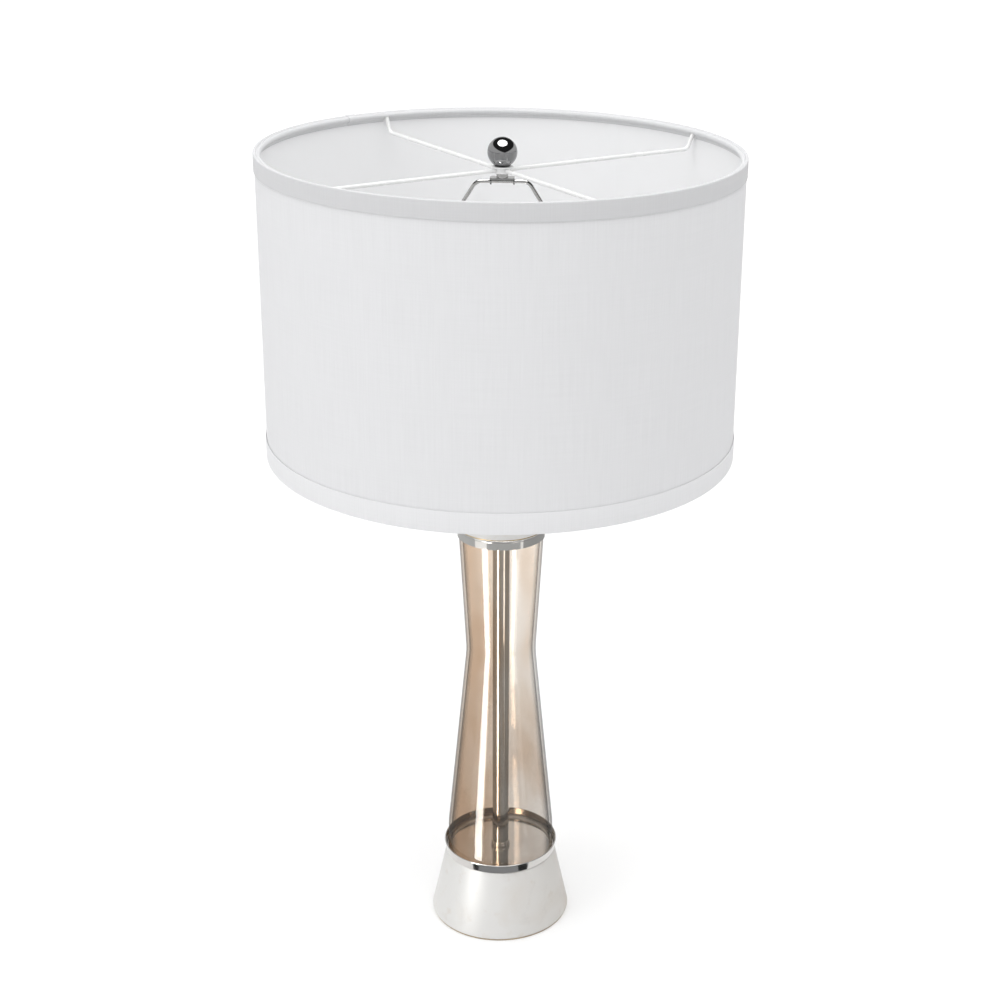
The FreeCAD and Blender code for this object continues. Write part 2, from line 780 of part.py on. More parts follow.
def make_socket():
    """A brass shell socket: cap, shell, insulating sleeve, core, screw shell, contact."""
    wall = size.socket_cap_wall
    shoulder = saddle_top + size.socket_cap_shoulder
    cap_rim = saddle_top + size.socket_cap_height
    floor = saddle_top + size.socket_cap_step + size.socket_cap_floor
    inside = size.socket_cap_radius - wall
    turned(
        "socket_cap",
        [
            (thread_hole, saddle_top),
            (size.socket_cap_boss, saddle_top, wall),
            (size.socket_cap_boss, saddle_top + size.socket_cap_step, size.socket_cap_root),
            (size.socket_cap_radius, shoulder, size.socket_cap_bend),
            (size.socket_cap_radius, cap_rim),
            (inside, cap_rim),
            (inside, shoulder + wall, size.socket_cap_bend - wall),
            (size.socket_cap_boss, floor),
            (thread_hole, floor),
        ],
    )

    shell_bottom = saddle_top + size.socket_shell_start
    shell_top = shell_bottom + size.socket_shell_height
    shell = inside - size.socket_shell_gap
    shell_inside = shell - size.socket_shell_wall
    bead = size.socket_bead
    shell_body = turned(
        "socket_shell",
        [
            (shell_inside, shell_bottom),
            (shell, shell_bottom),
            (shell, shell_top - size.socket_bead_height - bead),
            (shell + bead, shell_top - size.socket_bead_height),
            (shell + bead, shell_top, bead),
            (shell_inside, shell_top),
        ],
    )
    sleeve = shell_inside - size.socket_shell_gap
    sleeve_body = disc("socket_sleeve", sleeve - size.liner_sleeve_wall, sleeve,
                       shell_bottom + size.liner_sleeve_inset,
                       size.socket_shell_height - size.liner_sleeve_inset * 2)
    switch = saddle_top + size.switch_height
    for body, name in ((shell_body, "shell_hole"), (sleeve_body, "sleeve_hole")):
        drill(body, name, "XZ_Plane", size.switch_hole, size.socket_cap_radius + size.cut_spare,
              None, True, switch)

    core_bottom = saddle_top + size.core_start
    core_top = core_bottom + size.core_height
    boss_top = core_top + size.core_boss_height
    core = turned(
        "socket_core",
        [
            (ZERO, core_bottom),
            (size.core_radius, core_bottom, size.core_edge),
            (size.core_radius, core_top),
            (size.core_boss_radius, core_top),
            (size.core_boss_radius, boss_top),
            (ZERO, boss_top),
        ],
    )
    stem_hole = size.switch_stem_radius + size.ferrule_clearance
    stem_seat = size.switch_stem_start - size.ferrule_clearance
    drill(core, "stem_hole", "XZ_Plane", stem_hole, size.core_radius, stem_seat, True, switch)

    floor_hole = size.core_boss_radius + size.thread_clearance
    throat = core_top + size.screw_throat_height
    screw_top = core_top + size.screw_height
    screw = size.screw_radius
    metal = size.screw_wall
    turned(
        "screw_shell",
        [
            (floor_hole, core_top),
            (size.screw_throat_radius + metal, core_top, size.screw_edge),
            (size.screw_throat_radius + metal, throat - metal),
            (screw + metal, throat + metal),
            (screw + metal, screw_top),
            (screw, screw_top),
            (screw, throat + metal * 2),
            (size.screw_throat_radius, throat),
            (size.screw_throat_radius, core_top + metal, size.screw_edge - metal),
            (floor_hole, core_top + metal),
        ],
    )

    contact = new_body("centre_contact")
    thick = size.contact_thickness
    reach = size.contact_reach
    heel = size.contact_heel
    tip = size.contact_rise
    strip = [
        (-reach, ZERO),
        (-heel, ZERO),
        (heel / 2, tip),
        (heel, tip - thick),
        (heel, tip),
        (heel / 2, tip + thick),
        (-heel, thick),
        (-reach, thick),
    ]
    profile = outline(new_sketch(contact, "contact_profile", "XZ_Plane"), strip)
    pad(contact, "contact_strip", profile, size.contact_width)
    place(contact, boss_top)


def make_switch():
    """The rotary switch: a bushing in the shell, and a stem that carries a fluted knob."""
    switch = saddle_top + size.switch_height
    shell = size.socket_cap_radius - size.socket_cap_wall - size.socket_shell_gap
    flange = shell + size.socket_shell_gap
    bushing_front = flange + size.switch_bushing_thickness
    bore = size.switch_stem_radius + size.ferrule_clearance
    sleeve = size.switch_hole - size.bushing_clearance
    bushing = turned(
        "switch_bushing",
        [
            (bore, size.core_radius + size.bushing_clearance),
            (sleeve, size.core_radius + size.bushing_clearance),
            (sleeve, flange),
            (size.switch_bushing_flange, flange),
            (size.switch_bushing_flange, bushing_front, size.switch_bushing_edge),
            (bore, bushing_front),
        ],
    )
    place(bushing, switch, TO_FRONT)

    stem = size.switch_stem_radius
    rod = turned(
        "switch_stem",
        [
            (ZERO, size.switch_stem_start),
            (stem, size.switch_stem_start),
            (stem, size.switch_stem_end),
            (ZERO, size.switch_stem_end),
        ],
    )
    place(rod, switch, TO_FRONT)

    back = bushing_front + size.knob_gap
    front = back + size.knob_length
    inside = stem + size.thread_clearance
    depth = size.switch_stem_end + size.thread_clearance
    knob = turned(
        "switch_knob",
        [
            (inside, back),
            (size.knob_radius, back, size.knob_edge),
            (size.knob_nose_radius, front, size.knob_edge),
            (ZERO, front),
            (ZERO, depth),
            (inside, depth),
        ],
    )
    place(knob, switch, TO_FRONT)
    doc.recompute()
    before = knob.Shape.Volume
    groove = circle(new_sketch(knob, "flute_circle", "XY_Plane", back), size.knob_flute_radius,
                    size.knob_radius)
    flute = knob.newObject("PartDesign::Pocket", "flute")
    flute.Profile = groove
    flute.Type = "Length"
    flute.Reversed = True
    bind(flute, "Length", size.knob_length + size.cut_spare)
    ring = knob.newObject("PartDesign::PolarPattern", "flutes")
    ring.Originals = [flute]
    ring.Axis = (groove, ["N_Axis"])
    ring.Angle = 360
    ring.Occurrences = KNOB_FLUTES
    knob.Tip = ring
    doc.recompute()
    if not knob.Shape.Volume < before:
        raise RuntimeError("the flutes cut nothing from the knob")


# ---------------------------------------------------------------- shade


def shade_walls():
    """The radii of the shade's layers, from the trim's outside to its inner flap."""
    fabric = size.shade_radius - size.trim_thickness
    liner = fabric - size.fabric_thickness
    inside = liner - size.liner_thickness
    wire = inside - size.ring_wire_gap - size.ring_wire
    flap = wire - size.ring_wire - size.trim_flap_gap
    return fabric, liner, inside, wire, flap


def slot_for_arms(trim, top):
    """Open the trim's inner flap from its hem up to a height wherever an arm goes through."""
    across = size.spider_wire + size.spider_slot_gap
    low = spider_height
    slot = [(-across, low), (across, low), (across, top), (-across, top)]
    for name, role in (("side_slots", "YZ_Plane"), ("front_and_back_slots", "XZ_Plane")):
        doc.recompute()
        before = trim.Shape.Volume
        sketch = new_sketch(trim, f"{name}_outline", role)
        sketch.AttachmentOffset = FreeCAD.Placement(FreeCAD.Vector(), ABOUT_UP)
        bind(sketch, "AttachmentOffset.Rotation.Angle", size.spider_azimuth)
        opening = trim.newObject("PartDesign::Pocket", name)
        opening.Profile = outline(sketch, slot)
        opening.Type = "Length"
        opening.SideType = "Symmetric"
        bind(opening, "Length", shade_walls()[3] * 2)
        trim.Tip = opening
        doc.recompute()
        if not trim.Shape.Volume < before:
            raise RuntimeError(f"{name} cut nothing from the trim")


def make_shade_skin():
    """The stiff liner, the cloth on it, and a wire ring rolled into each edge."""
    fabric, liner, inside, wire, flap = shade_walls()
    roll = (size.shade_radius - flap + size.trim_thickness) / 2
    upper = rim_height - roll
    lower = shade_bottom + roll
    disc("shade_liner", inside, liner, lower, upper - lower)
    disc("shade_fabric", liner, fabric, lower, upper - lower)
    for label, height in (("top_wire_ring", upper), ("bottom_wire_ring", lower)):
        ring = doc.addObject("Part::Torus", label)
        ring.Label = label
        bind(ring, "Radius1", wire)
        bind(ring, "Radius2", size.ring_wire)
        bind(ring, "Placement.Base.z", height)
        nodes.append(ring)

    flap_inside = flap - size.trim_thickness
    outer_bend = (size.shade_radius - flap_inside) * ROLL_SHARE
    inner_bend = (fabric - flap) * ROLL_SHARE
    for label, edge, side, height in (
        ("top_trim", rim_height, 1, size.top_trim_height),
        ("bottom_trim", shade_bottom, -1, size.bottom_trim_height),
    ):
        seam = edge - height * side
        hem = edge - size.trim_flap * side
        fold = edge - size.trim_thickness * side
        trim = turned(
            label,
            [
                (size.shade_radius, seam),
                (size.shade_radius, edge, outer_bend),
                (flap_inside, edge, outer_bend),
                (flap_inside, hem),
                (flap, hem),
                (flap, fold, inner_bend),
                (fabric, fold, inner_bend),
                (fabric, seam),
            ],
        )
        if side > 0:
            slot_for_arms(trim, upper - size.spider_slot_gap)
    return upper


def make_spider(ring_height):
    """The hub on the harp's stud, and four bent arms up to the shade's top ring."""
    turned(
        "spider_hub",
        [
            (size.hub_bore, hub_bottom),
            (size.hub_radius, hub_bottom, size.hub_edge),
            (size.hub_radius, hub_flange_bottom),
            (size.hub_flange_radius, hub_flange_bottom, size.hub_edge),
            (size.hub_flange_radius, hub_top, size.hub_edge),
            (size.hub_bore, hub_top),
        ],
    )
    wire = shade_walls()[3]
    rise = ring_height - spider_height - size.ring_wire * WELD_DOWN
    for index in range(SPIDER_ARMS):
        body = new_body(f"spider_arm_{index + 1}")
        corners = [
            (size.hub_radius, ZERO),
            (wire - size.spider_lean, ZERO, size.spider_bend),
            (wire - size.ring_wire * WELD_IN, rise),
        ]
        path = outline(new_sketch(body, f"arm_{index + 1}_path", "XZ_Plane"), corners, False)
        section = circle(new_sketch(body, f"arm_{index + 1}_section", "YZ_Plane",
                                    size.hub_radius), size.spider_wire)
        arm = body.newObject("PartDesign::AdditivePipe", f"arm_{index + 1}_bend")
        arm.Profile = section
        arm.Spine = path
        body.Tip = arm
        place(body, spider_height)
        turn = size.spider_azimuth + index * 360 / SPIDER_ARMS
        bind(body, "Placement.Rotation.Angle", turn)


def make_finial():
    """A polished ball on a low collar, threaded to screw down on the harp's stud."""
    bore = size.stud_radius + size.stud_clearance
    spigot_top = finial_neck_top + size.finial_spigot_height
    turned(
        "finial_neck",
        [
            (bore, finial_bottom),
            (size.finial_neck_radius, finial_bottom, size.finial_neck_edge),
            (size.finial_neck_radius, finial_neck_top, size.finial_neck_edge),
            (size.finial_spigot, finial_neck_top),
            (size.finial_spigot, spigot_top),
            (bore, spigot_top),
        ],
    )
    sphere = doc.addObject("Part::Sphere", "finial_sphere")
    bind(sphere, "Radius", size.ball_radius)
    centre = finial_neck_top + size.ball_radius.leg(size.finial_neck_radius)
    bind(sphere, "Placement.Base.z", centre)
    spare = size.cut_spare
    seat = cylinder("finial_seat", size.finial_spigot + size.thread_clearance,
                    size.finial_spigot_height + spare + spare, finial_neck_top - spare)
    flat = cylinder("finial_flat", size.ball_radius, size.ball_radius,
                    finial_neck_top - size.ball_radius)
    openings = doc.addObject("Part::MultiFuse", "finial_openings")
    openings.Shapes = [seat, flat]
    cut("finial_ball", sphere, openings)


# ---------------------------------------------------------------- assembly

make_foot()
make_clamp()
make_tray()
make_glass()
make_tube()
make_column_top()
make_saddle()
make_harp()
make_swivel()
make_socket()
make_switch()
make_spider(make_shade_skin())
make_finial()
doc.recompute()

for item in doc.Objects:
    if "Invalid" in item.State or "Error" in item.State:
        raise RuntimeError(f"{item.Label} did not build: {item.State}")
for node in nodes:
    if node.Shape.isNull() or not node.Shape.isValid():
        raise RuntimeError(f"{node.Label} has no valid shape")

os.makedirs("parts", exist_ok=True)
for node in nodes:
    node.Shape.exportStep(f"parts/{node.Label}.step")
    box = node.Shape.BoundBox
    print(f"{node.Label}: {len(node.Shape.Solids)} solid, {node.Shape.Volume / 1000:.2f} cm3, "
          f"z {box.ZMin:.2f} to {box.ZMax:.2f}")
print(f"{len(nodes)} nodes, rim {rim_height.number:.1f}, shade foot {shade_bottom.number:.1f}")
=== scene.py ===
"""Looks of a table lamp: glass column on a marble foot, drum shade on a wire harp."""

import logging
import math
from collections.abc import Callable
from dataclasses import dataclass
from enum import Enum

import bmesh
import bpy
from mathutils import Matrix, Vector


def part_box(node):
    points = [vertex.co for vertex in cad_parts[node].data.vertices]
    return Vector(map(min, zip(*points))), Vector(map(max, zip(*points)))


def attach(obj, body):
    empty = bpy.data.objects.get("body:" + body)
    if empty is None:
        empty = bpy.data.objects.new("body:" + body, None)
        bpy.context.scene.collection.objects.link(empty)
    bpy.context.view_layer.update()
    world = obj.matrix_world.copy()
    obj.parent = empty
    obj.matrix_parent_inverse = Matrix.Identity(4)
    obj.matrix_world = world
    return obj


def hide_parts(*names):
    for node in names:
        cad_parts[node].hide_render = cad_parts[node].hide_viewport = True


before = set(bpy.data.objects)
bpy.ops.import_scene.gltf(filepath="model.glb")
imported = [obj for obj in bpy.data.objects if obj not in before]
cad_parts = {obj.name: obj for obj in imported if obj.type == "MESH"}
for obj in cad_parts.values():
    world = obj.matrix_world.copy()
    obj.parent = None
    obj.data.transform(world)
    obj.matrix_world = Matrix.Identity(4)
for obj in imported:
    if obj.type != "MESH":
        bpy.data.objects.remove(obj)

log = logging.getLogger("lamp")

Colour = tuple[float, float, float]
Socket = bpy.types.NodeSocket
Thing = bpy.types.Object


# ------------------------------------------------------------------ materials


class NodeTree:
    """The shader nodes of a material or of the world, added and joined with short calls."""

    def __init__(self, name: str) -> None:
        """Start an empty material of this name."""
        self.material = bpy.data.materials.new(name)
        self.material.use_nodes = True
        self.take(self.material.node_tree, "ShaderNodeOutputMaterial")

    def take(self, tree: bpy.types.NodeTree, output: str) -> None:
        """Empty a node tree and give it an output node of this kind."""
        self.nodes = tree.nodes
        self.links = tree.links
        self.nodes.clear()
        self.output = self.nodes.new(output)

    @classmethod
    def of_world(cls, world: bpy.types.World) -> "NodeTree":
        """Start on a world's nodes in place of a material's."""
        made = cls.__new__(cls)
        made.material = None
        made.take(world.node_tree, "ShaderNodeOutputWorld")
        return made

    def add(self, kind: str, inputs: dict | None = None, **settings: object) -> bpy.types.Node:
        """Add a node.

        Args:
            kind: the node's type, without its ShaderNode prefix.
            inputs: a value or a socket to join, for each input by name or number.
            settings: the node's own settings.

        Returns:
            The new node.
        """
        node = self.nodes.new("ShaderNode" + kind)
        for name, value in settings.items():
            setattr(node, name, value)
        for name, value in (inputs or {}).items():
            self.feed(node.inputs[name], value)
        return node

    def feed(self, socket: Socket, value: object) -> None:
        """Join a socket to an input, or set the input's own value."""
        if isinstance(value, bpy.types.NodeSocket):
            self.links.new(value, socket)
        elif isinstance(value, tuple) and len(value) == 3 and socket.type == "RGBA":
            socket.default_value = (*value, 1.0)
        else:
            socket.default_value = value

    def place(self, stretch: tuple = (1.0, 1.0, 1.0), source: str = "Object",
              shift: tuple = (0.0, 0.0, 0.0)) -> Socket:
        """Where a pattern stands: the piece's coordinates, stretched and shifted."""
        coordinates = self.add("TexCoord").outputs[source]
        inputs = {"Vector": coordinates, "Scale": stretch, "Location": shift}
        return self.add("Mapping", inputs).outputs["Vector"]

    def noise(self, scale: float, detail: float = 3.0, stretch: tuple = (1.0, 1.0, 1.0),
              source: str = "Object", shift: tuple = (0.0, 0.0, 0.0),
              warp: float = 0.0) -> Socket:
        """A cloudy pattern from 0 to 1, with scale bumps to the metre."""
        vector = self.place(stretch, source, shift)
        inputs = {"Vector": vector, "Scale": scale, "Detail": detail, "Distortion": warp}
        return self.add("TexNoise", inputs).outputs["Fac"]

    def spread(self, value: Socket, low: float, high: float, to_low: float = 0.0,
               to_high: float = 1.0) -> Socket:
        """Stretch the part of a value from low to high over another range."""
        inputs = {"Value": value, "From Min": low, "From Max": high, "To Min": to_low,
                  "To Max": to_high}
        return self.add("MapRange", inputs).outputs["Result"]

    def mix(self, share: Socket | float, first: object, second: object,
            blend: str = "MIX") -> Socket:
        """Blend two colours by a share."""
        inputs = {0: share, 6: first, 7: second}
        node = self.add("Mix", None, data_type="RGBA", blend_type=blend)
        for number, value in inputs.items():
            self.feed(node.inputs[number], value)
        return node.outputs[2]

    def blend(self, share: Socket, first: object, second: object) -> Socket:
        """Blend two numbers by a share."""
        return self.add("Mix", {0: share, 2: first, 3: second}).outputs[0]

    def math(self, operation: str, first: object, second: object = 0.0) -> Socket:
        """One sum on one or two values."""
        node = self.add("Math", None, operation=operation)
        self.feed(node.inputs[0], first)
        self.feed(node.inputs[1], second)
        return node.outputs[0]

    def bump(self, height: Socket, strength: float, depth: float) -> Socket:
        """A normal from a height pattern whose full height is depth metres."""
        inputs = {"Height": height, "Strength": strength, "Distance": depth}
        return self.add("Bump", inputs).outputs["Normal"]

    def principled(self, inputs: dict) -> Socket:
        """A Principled shader with these inputs."""
        return self.add("BsdfPrincipled", inputs).outputs["BSDF"]

    def finish(self, shader: Socket) -> bpy.types.Material:
        """Join a shader to the output and give the material."""
        self.links.new(shader, self.output.inputs["Surface"])
        return self.material


class Grain(Enum):
    """The way a surface was worked, as the stretch of its fine lines."""

    POLISHED = (1.0, 1.0, 1.0)
    TURNED = (0.03, 0.03, 1.0)
    DRAWN = (1.0, 1.0, 0.03)


@dataclass(frozen=True)
class Metal:
    """Bare or plated metal, with faint clouds in its gloss and lines of its working."""

    name: str
    colour: Colour
    gloss: tuple[float, float] = (0.05, 0.12)
    grain: Grain = Grain.POLISHED
    lines: float = 0.04
    pitch: float = 900.0

    def make(self) -> bpy.types.Material:
        """Build the material."""
        tree = NodeTree(self.name)
        cloud = tree.noise(38.0, 4.0)
        line = tree.noise(self.pitch, 2.0, self.grain.value)
        shade = tuple(value * 0.9 for value in self.colour)
        colour = tree.mix(tree.spread(cloud, 0.35, 0.7), self.colour, shade)
        rough = tree.spread(cloud, 0.3, 0.7, *self.gloss)
        fine = tree.math("ADD", rough, tree.spread(line, 0.3, 0.7, 0.0, self.lines))
        shader = tree.principled({
            "Base Color": colour, "Metallic": 1.0, "Roughness": fine,
            "Normal": tree.bump(line, self.lines, 0.00002),
        })
        return tree.finish(shader)


@dataclass(frozen=True)
class Marble:
    """Honed white marble with tan flecks and thin grey veins, and painted shade that darkens it
    towards the lamp's right.
    """

    name: str
    ground: Colour = (0.740, 0.732, 0.715)
    cloud: Colour = (0.66, 0.615, 0.56)
    vein: Colour = (0.56, 0.56, 0.56)
    painted_shade_side: tuple[float, float] = (0.0, 0.06)

    def make(self) -> bpy.types.Material:
        """Build the material."""
        tree = NodeTree(self.name)
        broad = tree.noise(26.0, 4.0, warp=0.6)
        fleck = tree.noise(95.0, 3.0, shift=(0.2, 0.1, 0.4))
        ridge = tree.math("ABSOLUTE", tree.math("SUBTRACT", tree.noise(13.0, 6.0, warp=1.4), 0.5))
        veins = tree.math("MULTIPLY", tree.spread(ridge, 0.0, 0.018, 1.0, 0.0),
                          tree.spread(broad, 0.42, 0.62))
        colour = tree.mix(tree.spread(broad, 0.5, 0.78, 0.0, 0.55), self.ground, self.cloud)
        colour = tree.mix(tree.spread(fleck, 0.60, 0.74, 0.0, 0.55), colour, self.cloud)
        colour = tree.mix(tree.math("MULTIPLY", veins, 0.16), colour, self.vein)
        # Painted shade: the colour is multiplied darker towards the lamp's right, along X.
        across = tree.add("SeparateXYZ", {0: tree.place()}).outputs["X"]
        side = tree.spread(across, *self.painted_shade_side)
        colour = tree.mix(tree.math("MULTIPLY", side, 0.5), colour, self.cloud, "MULTIPLY")
        grit = tree.noise(1400.0, 2.0)
        shader = tree.principled({
            "Base Color": colour, "Roughness": tree.spread(broad, 0.3, 0.7, 0.36, 0.48),
            "Normal": tree.bump(grit, 0.08, 0.00003),
        })
        return tree.finish(shader)


@dataclass(frozen=True)
class LustreGlass:
    """Thin clear glass that mirrors a little, in a film that turns smoky grey towards the bottom,
    partly its own tint and partly painted shade, and amber towards the left, which is painted
    light.
    """

    name: str
    pale: Colour = (0.985, 0.963, 0.938)
    amber: Colour = (0.90, 0.825, 0.75)
    smoke: Colour = (0.868, 0.851, 0.833)
    edge: Colour = (0.40, 0.405, 0.415)
    smoke_and_painted_shade_heights: tuple[float, float] = (0.34, 0.14)
    painted_light_amber_side: tuple[float, float] = (0.012, -0.036)
    edge_facing: tuple[float, float] = (0.56, 0.96)
    mirror: float = 0.045
    mirror_at_edge: float = 0.10

    def make(self) -> bpy.types.Material:
        """Build the material."""
        tree = NodeTree(self.name)
        split = tree.add("SeparateXYZ", {0: tree.place()})
        # Partly painted shade: the film turns smoky grey towards the bottom.
        low = tree.spread(split.outputs["Z"], *self.smoke_and_painted_shade_heights)
        # Painted light: the film turns amber towards the lamp's left, along X.
        side = tree.spread(split.outputs["X"], *self.painted_light_amber_side)
        cloud = tree.noise(16.0, 3.0, (1.0, 1.0, 0.28), warp=0.5, shift=(0.07, 0.02, 0.0))
        patch = tree.noise(26.0, 2.0, (1.0, 1.0, 0.4), shift=(0.4, 0.1, 0.2))
        film = tree.mix(tree.spread(cloud, 0.36, 0.66, 0.0, 0.4), self.pale, self.smoke)
        film = tree.mix(tree.math("MULTIPLY", low, 0.74), film, self.smoke)
        amber = tree.math("MULTIPLY", tree.spread(patch, 0.47, 0.66), 0.6)
        amber = tree.math("ADD", amber, tree.math("MULTIPLY", side, 0.86))
        film = tree.mix(amber, film, self.amber, "MULTIPLY")
        facing = tree.add("LayerWeight", {"Blend": 0.5}).outputs["Facing"]
        rim = tree.spread(facing, *self.edge_facing, 0.0, 0.9)
        film = tree.mix(rim, film, self.edge)
        clear = tree.add("BsdfTransparent", {"Color": film}).outputs[0]
        streak = tree.noise(420.0, 3.0, (1.0, 1.0, 0.25), warp=2.0)
        mirror = tree.principled({
            "Base Color": (0.92, 0.91, 0.89), "Metallic": 1.0,
            "Roughness": tree.spread(streak, 0.3, 0.7, 0.0, 0.02),
        })
        grazing = tree.math("MULTIPLY", tree.math("POWER", facing, 5.0), self.mirror_at_edge)
        share = tree.math("ADD", grazing, self.mirror)
        both = tree.add("MixShader", {0: share, 1: clear, 2: mirror}).outputs[0]
        return tree.finish(both)


@dataclass(frozen=True)
class Moulded:
    """Plastic, rubber, card or felt: a plain stuff with a grain of its own."""

    name: str
    colour: Colour
    gloss: tuple[float, float] = (0.4, 0.55)
    grain: float = 900.0
    depth: float = 0.00004
    mottle: float = 0.12
    fuzz: float = 0.0

    def make(self) -> bpy.types.Material:
        """Build the material."""
        tree = NodeTree(self.name)
        cloud = tree.noise(60.0, 4.0)
        pore = tree.noise(self.grain, 3.0)
        darker = tuple(value * (1.0 - self.mottle) for value in self.colour)
        colour = tree.mix(tree.spread(cloud, 0.35, 0.68), self.colour, darker)
        colour = tree.mix(tree.spread(pore, 0.35, 0.7, 0.0, 0.6), colour, darker)
        shader = tree.principled({
            "Base Color": colour, "Roughness": tree.spread(pore, 0.3, 0.7, *self.gloss),
            "Sheen Weight": self.fuzz, "Normal": tree.bump(pore, 0.3, self.depth),
        })
        return tree.finish(shader)


@dataclass(frozen=True)
class Enamel:
    """Glossy white powder coat with a faint orange-peel surface."""

    name: str
    colour: Colour = (0.86, 0.86, 0.855)

    def make(self) -> bpy.types.Material:
        """Build the material."""
        tree = NodeTree(self.name)
        peel = tree.noise(650.0, 2.0)
        cloud = tree.noise(45.0, 3.0)
        duller = tuple(value * 0.94 for value in self.colour)
        shader = tree.principled({
            "Base Color": tree.mix(tree.spread(cloud, 0.4, 0.7), self.colour, duller),
            "Roughness": tree.spread(cloud, 0.3, 0.7, 0.22, 0.34),
            "Normal": tree.bump(peel, 0.12, 0.00006),
        })
        return tree.finish(shader)


@dataclass(frozen=True)
class Linen:
    """Fine white plain weave with slubs, on a UV map in metres."""

    name: str
    colour: Colour = (0.92, 0.922, 0.935)
    pitch: float = 0.00055
    glow: float = 0.15

    def make(self) -> bpy.types.Material:
        """Build the material."""
        tree = NodeTree(self.name)
        across = tree.add("SeparateXYZ", {0: tree.place(source="UV")})
        turn = math.pi / self.pitch
        warp = tree.math("SINE", tree.math("MULTIPLY", across.outputs["X"], turn))
        weft = tree.math("SINE", tree.math("MULTIPLY", across.outputs["Y"], turn))
        weave = tree.spread(tree.math("MULTIPLY", warp, weft), -1.0, 1.0)
        upright = tree.noise(1.0, 3.0, (900.0, 22.0, 1.0), "UV")
        level = tree.noise(1.0, 3.0, (18.0, 1100.0, 1.0), "UV")
        slub = tree.math("ADD", tree.spread(upright, 0.3, 0.7, 0.0, 0.65),
                         tree.spread(level, 0.3, 0.7, 0.0, 0.35))
        dark = tuple(value * 0.9 for value in self.colour)
        colour = tree.mix(tree.math("MULTIPLY", slub, 0.55), self.colour, dark)
        colour = tree.mix(tree.math("MULTIPLY", weave, 0.3), colour, dark)
        height = tree.math("ADD", tree.math("MULTIPLY", weave, 0.5), slub)
        cloth = tree.principled({
            "Base Color": colour, "Roughness": 0.85, "Sheen Weight": 0.12,
            "Sheen Roughness": 0.5, "Specular IOR Level": 0.2,
            "Normal": tree.bump(height, 0.35, 0.00012),
        })
        through = tree.add("BsdfTranslucent", {"Color": colour}).outputs[0]
        both = tree.add("MixShader", {0: self.glow, 1: cloth, 2: through}).outputs[0]
        return tree.finish(both)


@dataclass(frozen=True)
class Lining:
    """Stiff white sheet on the inside of the shade, smooth with a faint sheen."""

    name: str
    colour: Colour = (0.965, 0.968, 0.975)
    glow: float = 0.1

    def make(self) -> bpy.types.Material:
        """Build the material."""
        tree = NodeTree(self.name)
        wave = tree.noise(7.0, 2.0, (1.0, 1.0, 0.35))
        grain = tree.noise(700.0, 2.0)
        duller = tuple(value * 0.985 for value in self.colour)
        colour = tree.mix(tree.spread(wave, 0.35, 0.7), self.colour, duller)
        sheet = tree.principled({
            "Base Color": colour, "Roughness": tree.spread(wave, 0.3, 0.7, 0.42, 0.52),
            "Specular IOR Level": 0.35, "Normal": tree.bump(grain, 0.06, 0.00004),
        })
        through = tree.add("BsdfTranslucent", {"Color": colour}).outputs[0]
        both = tree.add("MixShader", {0: self.glow, 1: sheet, 2: through}).outputs[0]
        return tree.finish(both)


# By the record's slot names, and after them the finishes of single pieces within a slot; most of
# these last are lighter or darker copies of a finish, which are painted light and shade.
FINISHES = {
    "pad": Moulded("felt_pad", (0.52, 0.41, 0.27), (0.8, 0.95), 1500.0, 0.0001, 0.3, 0.2),
    "marble": Marble("white_marble"),
    "polished_nickel": Metal("polished_nickel", (0.68, 0.66, 0.63)),
    "brushed_nickel": Metal("brushed_nickel", (0.60, 0.58, 0.55), (0.22, 0.3), Grain.TURNED, 0.12),
    "nickel_steel": Metal("nickel_steel", (0.50, 0.495, 0.485), (0.08, 0.15)),
    "zinc_steel": Metal("zinc_steel", (0.58, 0.58, 0.57), (0.25, 0.4), Grain.POLISHED, 0.1),
    "dark_nickel": Metal("dark_nickel", (0.29, 0.29, 0.292), (0.02, 0.05)),
    "brass": Metal("satin_brass", (0.62, 0.46, 0.24), (0.2, 0.32), Grain.TURNED, 0.08),
    "lustre_glass": LustreGlass("lustre_glass"),
    "clear_rubber": Moulded("pale_rubber", (0.62, 0.61, 0.58), (0.5, 0.62), 500.0),
    "black_plastic": Moulded("black_plastic", (0.03, 0.03, 0.03), (0.4, 0.5)),
    "knob_plastic": Moulded("knob_plastic", (0.022, 0.022, 0.022), (0.14, 0.24), 700.0, 0.00002),
    "insulating_card": Moulded("pressed_card", (0.45, 0.37, 0.27), (0.75, 0.9), 1300.0, 0.00008),
    "screw_aluminium": Metal("drawn_aluminium", (0.78, 0.78, 0.78), (0.2, 0.32), Grain.TURNED, 0.1),
    "white_enamel": Enamel("white_enamel"),
    "shade_liner": Lining("stiff_lining"),
    "shade_cloth": Linen("white_linen"),
    # The top tape is the bottom tape's linen made darker: painted shade.
    "shaded_top_tape": Linen("shaded_top_linen", (0.70, 0.702, 0.713), 0.0005, 0.06),
    "bottom_tape": Linen("bottom_tape_linen", (0.90, 0.902, 0.915), 0.0005, 0.06),
    # The harp plate's nickel, darker than the rest of the harp: painted shade.
    "plate_nickel_painted_shade": Metal("plate_nickel_painted_shade", (0.30, 0.30, 0.295), (0.06, 0.12)),
    # The tray's own copy of polished nickel, set to the brightness its mirror shows: painted
    # reflection.
    "tray_nickel_painted_reflection": Metal("tray_nickel_painted_reflection", (0.68, 0.66, 0.64)),
    # The collar's nickel, lighter than the tube's: painted highlight.
    "collar_nickel_painted_highlight": Metal("collar_nickel_painted_highlight", (0.80, 0.77, 0.72), (0.18, 0.26)),
    # The finial neck's nickel, near black where it sits in the shade under the ball: painted shade.
    "neck_nickel_painted_shade": Metal("neck_black_painted_shade", (0.07, 0.07, 0.072), (0.05, 0.1)),
}


